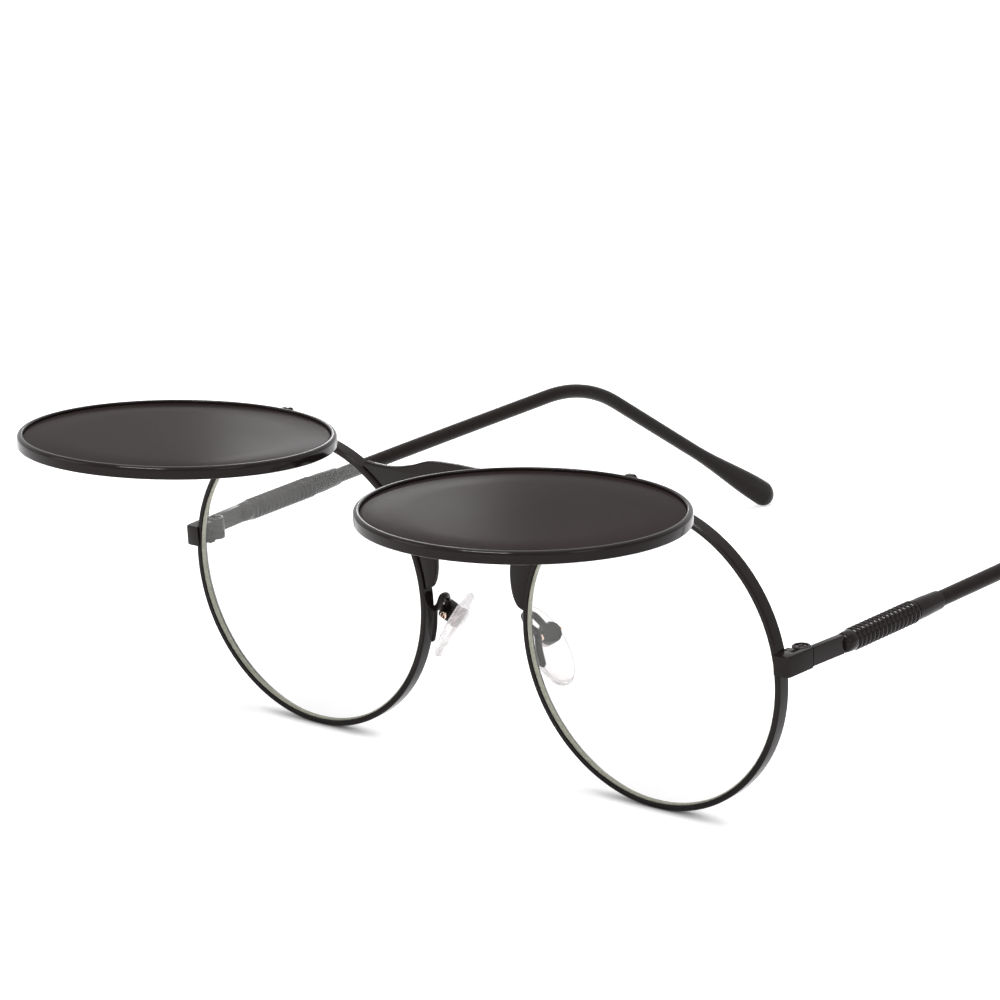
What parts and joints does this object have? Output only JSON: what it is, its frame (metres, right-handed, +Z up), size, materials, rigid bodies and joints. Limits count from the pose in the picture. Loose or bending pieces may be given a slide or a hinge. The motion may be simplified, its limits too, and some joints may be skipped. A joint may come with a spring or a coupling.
{
  "type": "round flip-up sunglasses",
  "caption": "Round black metal spectacles with clear lenses and a hinged pair of dark round lenses that flip up, ribbed folding temples and clear nose pads.",
  "frame": {"origin": "centre of the footprint on the surface that the rims and the temple tips stand on, with the temples open and the dark lenses flipped up", "axes": "+X to the wearer's left, +Y from the front back along the temples, +Z up"},
  "size_m": [0.1232, 0.21, 0.0536],
  "materials": {
    "lacquered_metal": "black satin lacquer",
    "steel": "dark, satin",
    "gilt_screw": "polished gilt",
    "black_plastic": "black, satin",
    "clear_lens": "clear, polished",
    "dark_lens": "dark grey-brown tint, polished",
    "clear_silicone": "clear, soft, polished"
  },
  "bodies": {
    "front": {"bridge_plate": "lacquered_metal", "clear_lens_left": "clear_lens", "clear_lens_right": "clear_lens", "closing_block_lower_left": "lacquered_metal", "closing_block_lower_right": "lacquered_metal", "closing_block_upper_left": "lacquered_metal", "closing_block_upper_right": "lacquered_metal", "end_piece_left": "lacquered_metal", "end_piece_right": "lacquered_metal", "flip_bracket_left": "lacquered_metal", "flip_bracket_right": "lacquered_metal", "flip_pin_left": "steel", "flip_pin_right": "steel", "pad_arm_left": "lacquered_metal", "pad_arm_right": "lacquered_metal", "pad_box_left": "lacquered_metal", "pad_box_right": "lacquered_metal", "pad_screw_left": "gilt_screw", "pad_screw_right": "gilt_screw", "rim_left": "lacquered_metal", "rim_lock_screw_left": "steel", "rim_lock_screw_right": "steel", "rim_right": "lacquered_metal", "temple_hinge_screw_left": "steel", "temple_hinge_screw_right": "steel"},
    "temple_left": {"temple_bar_left": "lacquered_metal", "temple_sleeve_left": "lacquered_metal", "temple_collar_left": "lacquered_metal", "temple_core_left": "steel", "temple_tip_left": "black_plastic"},
    "flip_left": {"flip_rim_left": "lacquered_metal", "dark_lens_left": "dark_lens"},
    "pad_left": {"nose_pad_left": "clear_silicone"},
    "temple_right": {"temple_bar_right": "lacquered_metal", "temple_sleeve_right": "lacquered_metal", "temple_collar_right": "lacquered_metal", "temple_core_right": "steel", "temple_tip_right": "black_plastic"},
    "flip_right": {"flip_rim_right": "lacquered_metal", "dark_lens_right": "dark_lens"},
    "pad_right": {"nose_pad_right": "clear_silicone"}
  },
  "joints": [
    {"name": "temple_left_fold", "type": "hinge", "parent": "front", "child": "temple_left", "pos_m": [0.0577, -0.04774, 0.02727], "axis": [0, -0.0692, 0.9976], "range_deg": [0, 90]},
    {"name": "temple_right_fold", "type": "hinge", "parent": "front", "child": "temple_right", "pos_m": [-0.0577, -0.04774, 0.02727], "axis": [0, 0.0692, -0.9976], "range_deg": [0, 81]},
    {"name": "flip_left_close", "type": "hinge", "parent": "front", "child": "flip_left", "pos_m": [0.0335, -0.05534, 0.04949], "axis": [1, 0, 0], "range_deg": [0, 94]},
    {"name": "flip_right_close", "type": "hinge", "parent": "front", "child": "flip_right", "pos_m": [-0.0335, -0.05534, 0.04949], "axis": [1, 0, 0], "range_deg": [0, 95.6]},
    {"name": "pad_left_rock", "type": "hinge", "parent": "front", "child": "pad_left", "pos_m": [0.0099, -0.0463, 0.02165], "axis": [-0.1481, -0.9762, -0.1586], "range_deg": [-5, 5]},
    {"name": "pad_right_rock", "type": "hinge", "parent": "front", "child": "pad_right", "pos_m": [-0.0099, -0.0463, 0.02165], "axis": [-0.1481, 0.9762, 0.1586], "range_deg": [-5, 5]}
  ]
}
